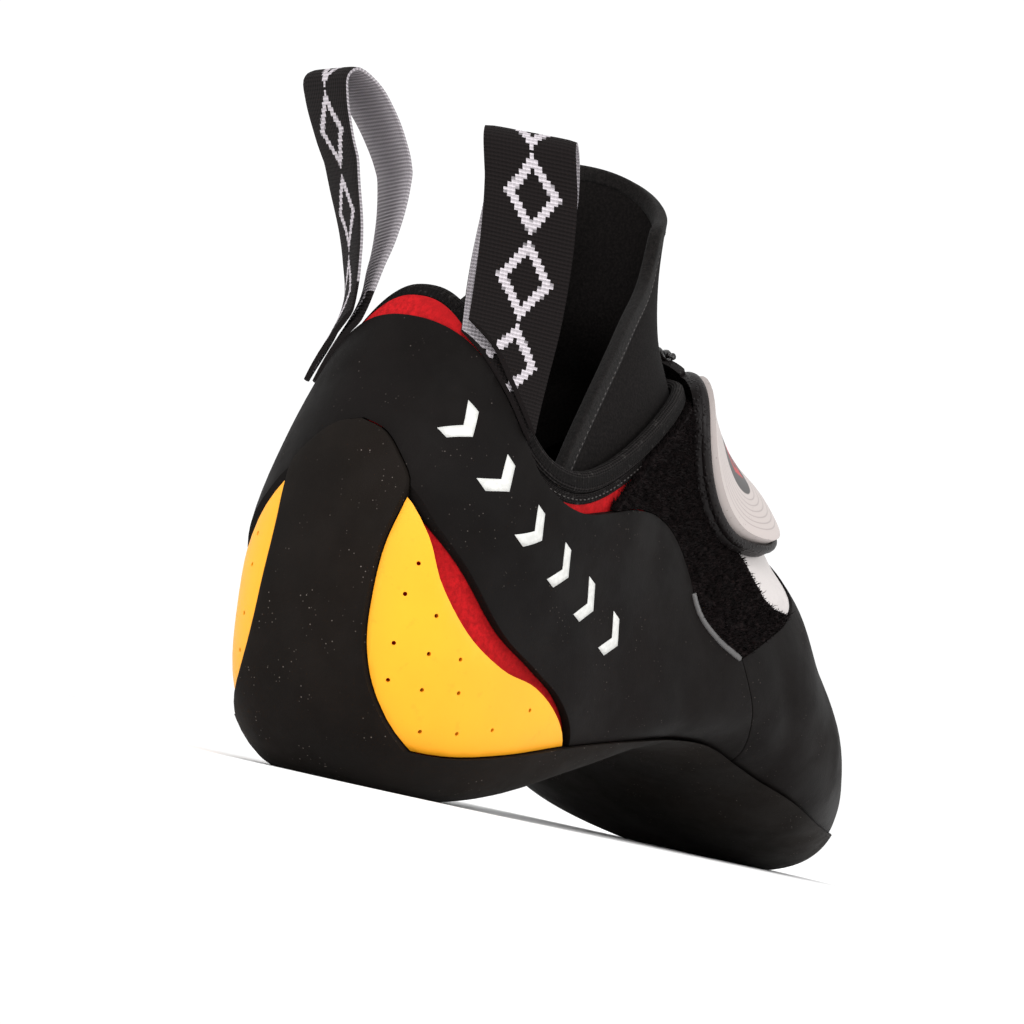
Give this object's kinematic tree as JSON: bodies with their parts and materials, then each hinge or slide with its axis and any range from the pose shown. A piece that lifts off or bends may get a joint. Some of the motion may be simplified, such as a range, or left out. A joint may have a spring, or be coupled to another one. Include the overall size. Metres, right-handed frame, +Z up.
{
  "type": "climbing shoe",
  "caption": "Right-foot climbing shoe: hollow upper with rubber rands and sole, arched waist, tongue, single closure strap with pad, and heel pull loops",
  "frame": {"origin": "on the flat of the sole under the heel, at floor height", "axes": "+X from heel to toe, +Y to the medial side, which is the left of a right shoe, +Z up"},
  "size_m": [0.2403, 0.0938, 0.1423],
  "materials": {
    "red_microfibre": "red synthetic suede, matte",
    "insole_board": "grey-brown fabric over a thin board",
    "sole_rubber": "matte black climbing rubber",
    "rand_rubber": "matte black thin rubber, slightly polished at the hem",
    "yellow_rubber": "smooth yellow thin rubber with pinholes",
    "black_knit": "black ribbed stretch knit",
    "neoprene": "black knit-faced neoprene",
    "black_pile": "black fuzzy loop pile",
    "pale_panel": "pale grey coated fabric",
    "black_webbing": "black woven webbing with a light reverse",
    "pad_rubber": "off-white moulded soft rubber"
  },
  "bodies": {
    "root": {"upper": "red_microfibre", "insole": "insole_board", "outsole": "sole_rubber", "arch_rand": "rand_rubber", "heel_band": "rand_rubber", "toe_rand": "rand_rubber", "side_patch_lateral": "yellow_rubber", "side_patch_medial": "yellow_rubber", "heel_tab": "red_microfibre", "collar_binding": "black_knit", "tongue": "neoprene", "hook_patch": "black_pile", "vamp_panel": "pale_panel", "closure_strap": "black_webbing", "strap_pad": "pad_rubber", "pull_loop_lateral": "black_webbing", "pull_loop_medial": "black_webbing"}
  },
  "joints": []
}
